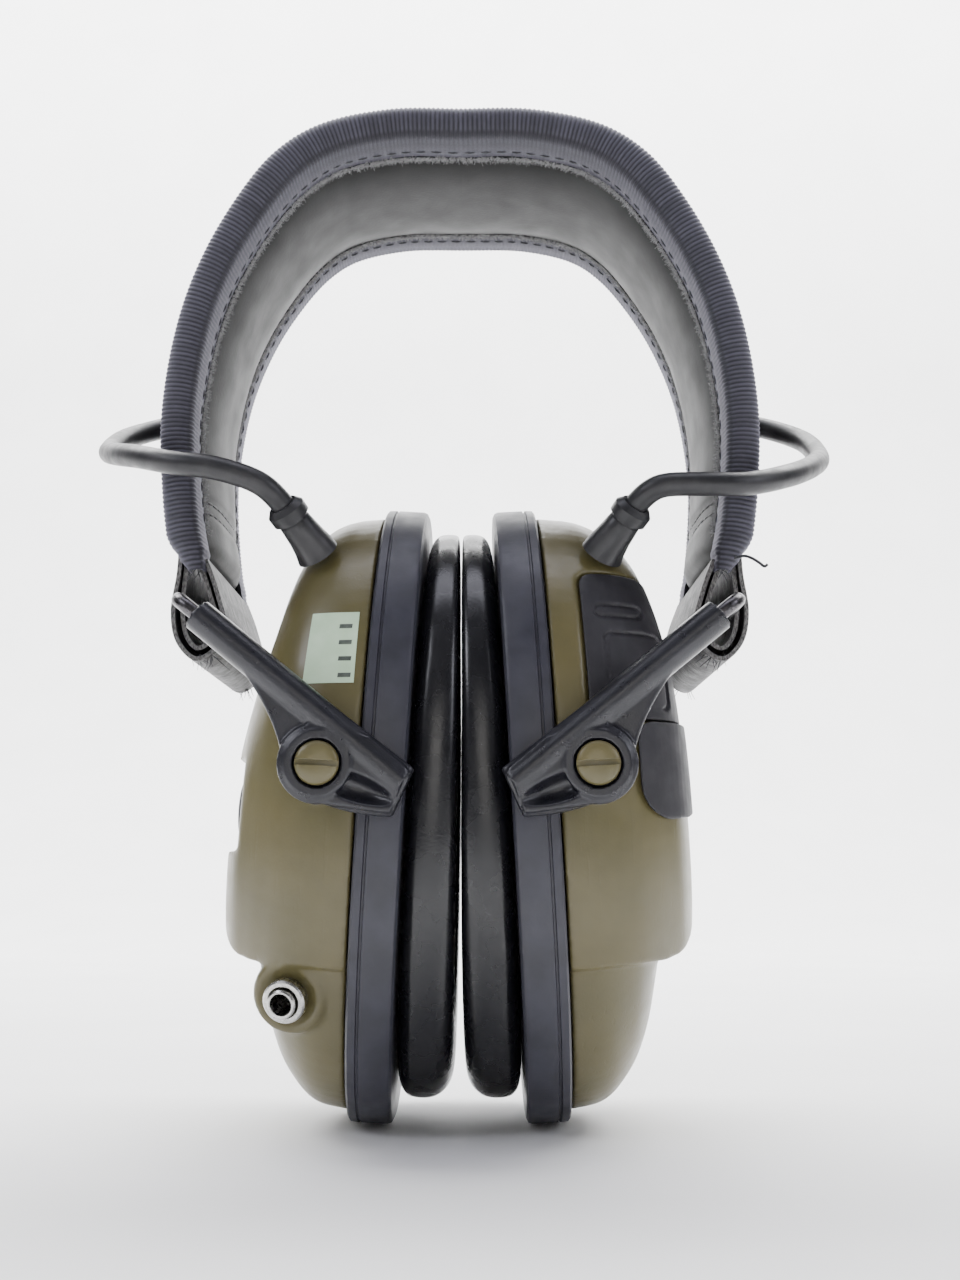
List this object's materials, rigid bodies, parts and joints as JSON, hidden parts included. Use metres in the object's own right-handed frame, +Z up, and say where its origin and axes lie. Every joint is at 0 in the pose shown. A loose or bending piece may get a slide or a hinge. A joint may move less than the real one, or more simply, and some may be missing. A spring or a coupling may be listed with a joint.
{
  "type": "folding electronic earmuffs",
  "caption": "Folding electronic earmuffs with a padded headband, wire bails, hinged ear cups, a volume knob and an audio input.",
  "frame": {"origin": "middle of the crown pad's underside, where it rests on the head", "axes": "+Z up, +Y the way the wearer looks, +X the wearer's right"},
  "size_m": [0.1422, 0.0876, 0.1858],
  "materials": {
    "headband_fabric": "tight plain weave, dull",
    "webbing": "ribbed binding tape, dull",
    "leatherette": "smooth soft PVC, glossy creases",
    "strap_leather": "thin leather with pale cut edges",
    "spring_steel": "blued spring strip",
    "bail_wire": "bright drawn wire",
    "plated_steel": "nickel plated",
    "olive_plastic": "satin olive moulding",
    "black_plastic": "fine grained black moulding",
    "soft_rubber": "soft touch, dull",
    "cable_rubber": "smooth dull jacket",
    "open_foam": "open cell foam",
    "circuit_laminate": "solder masked laminate",
    "cell_can": "printed can, plain"
  },
  "bodies": {
    "crown": {"crown_cover": "headband_fabric", "crown_spring": "spring_steel", "crown_pad": "leatherette", "crown_binding_rear": "webbing", "crown_binding_front": "webbing", "crown_cable": "cable_rubber"},
    "band_right": {"band_cover_right": "headband_fabric", "band_spring_right": "spring_steel", "band_pad_right": "leatherette", "binding_rear_right": "webbing", "binding_front_right": "webbing", "band_cable_right": "cable_rubber", "end_loop_right": "strap_leather", "outer_cable_right": "cable_rubber"},
    "bail_right": {"wire_bail_right": "bail_wire"},
    "arms_right": {"arm_rear_right": "black_plastic", "arm_front_right": "black_plastic"},
    "cup_right": {"cup_shell_right": "olive_plastic", "base_plate_right": "black_plastic", "cushion_right": "leatherette", "acoustic_foam_right": "open_foam", "speaker_grille_right": "black_plastic", "speaker_right": "black_plastic", "pivot_screw_rear_right": "olive_plastic", "pivot_screw_front_right": "olive_plastic", "microphone_right": "plated_steel", "mic_cover_right": "open_foam", "strain_relief_right": "cable_rubber", "battery_tray_right": "black_plastic", "cell_lower_right": "cell_can", "cell_upper_right": "cell_can", "battery_door_right": "soft_rubber"},
    "door_latch": {"door_latch_right": "soft_rubber"},
    "band_left": {"band_cover_left": "headband_fabric", "band_spring_left": "spring_steel", "band_pad_left": "leatherette", "binding_rear_left": "webbing", "binding_front_left": "webbing", "band_cable_left": "cable_rubber", "end_loop_left": "strap_leather", "outer_cable_left": "cable_rubber"},
    "bail_left": {"wire_bail_left": "bail_wire"},
    "arms_left": {"arm_rear_left": "black_plastic", "arm_front_left": "black_plastic"},
    "cup_left": {"cup_shell_left": "olive_plastic", "base_plate_left": "black_plastic", "cushion_left": "leatherette", "acoustic_foam_left": "open_foam", "speaker_grille_left": "black_plastic", "speaker_left": "black_plastic", "pivot_screw_rear_left": "olive_plastic", "pivot_screw_front_left": "olive_plastic", "microphone_left": "plated_steel", "mic_cover_left": "open_foam", "strain_relief_left": "cable_rubber", "circuit_board_left": "circuit_laminate", "volume_pot_left": "plated_steel", "audio_jack_left": "plated_steel", "jack_nut_left": "plated_steel"},
    "volume_knob": {"volume_knob_left": "soft_rubber"}
  },
  "joints": [
    {"name": "spread_right", "type": "hinge", "parent": "crown", "child": "band_right", "pos_m": [0.03763, 0, -0.006], "axis": [0, -1, 0], "range_deg": [0, 25], "stiffness_Nm_per_rad": 4, "springref_deg": -2.86},
    {"name": "swing_right", "type": "hinge", "parent": "band_right", "child": "bail_right", "pos_m": [0.0468, 0, -0.0888], "axis": [0, -1, 0], "range_deg": [0, 41], "deforming": ["outer_cable_right"]},
    {"name": "height_right", "type": "slide", "parent": "bail_right", "child": "arms_right", "axis": [-0.7749, 0, -0.632], "range_m": [0, 0.025]},
    {"name": "tilt_right", "type": "hinge", "parent": "arms_right", "child": "cup_right", "pos_m": [0.02264, 0, -0.11647], "axis": [0, -1, 0], "range_deg": [-41.01, 0]},
    {"name": "spread_left", "type": "hinge", "parent": "crown", "child": "band_left", "pos_m": [-0.03763, 0, -0.006], "axis": [0, 1, 0], "range_deg": [0, 25], "stiffness_Nm_per_rad": 4, "springref_deg": -2.86},
    {"name": "swing_left", "type": "hinge", "parent": "band_left", "child": "bail_left", "pos_m": [-0.0468, 0, -0.0888], "axis": [0, 1, 0], "range_deg": [0, 41], "deforming": ["outer_cable_left"]},
    {"name": "height_left", "type": "slide", "parent": "bail_left", "child": "arms_left", "axis": [0.7749, 0, -0.632], "range_m": [0, 0.025]},
    {"name": "tilt_left", "type": "hinge", "parent": "arms_left", "child": "cup_left", "pos_m": [-0.02264, 0, -0.11647], "axis": [0, 1, 0], "range_deg": [-41.01, 0]},
    {"name": "volume_turn", "type": "hinge", "parent": "cup_left", "child": "volume_knob", "pos_m": [-0.03866, 0, -0.12213], "axis": [-0.9986, 0, 0.053], "range_deg": [0, 280]},
    {"name": "door_latch_slide", "type": "slide", "parent": "cup_right", "child": "door_latch", "axis": [0.053, 0, -0.9986], "range_m": [0, 0.002], "stiffness_N_per_m": 200, "springref_m": -0.001}
  ],
  "couplings": [
    {"joint": "height_right", "follows": "swing_right", "m_per_rad": 0.034936},
    {"joint": "tilt_right", "follows": "swing_right", "ratio": -1},
    {"joint": "height_left", "follows": "swing_left", "m_per_rad": 0.034936},
    {"joint": "tilt_left", "follows": "swing_left", "ratio": -1}
  ]
}
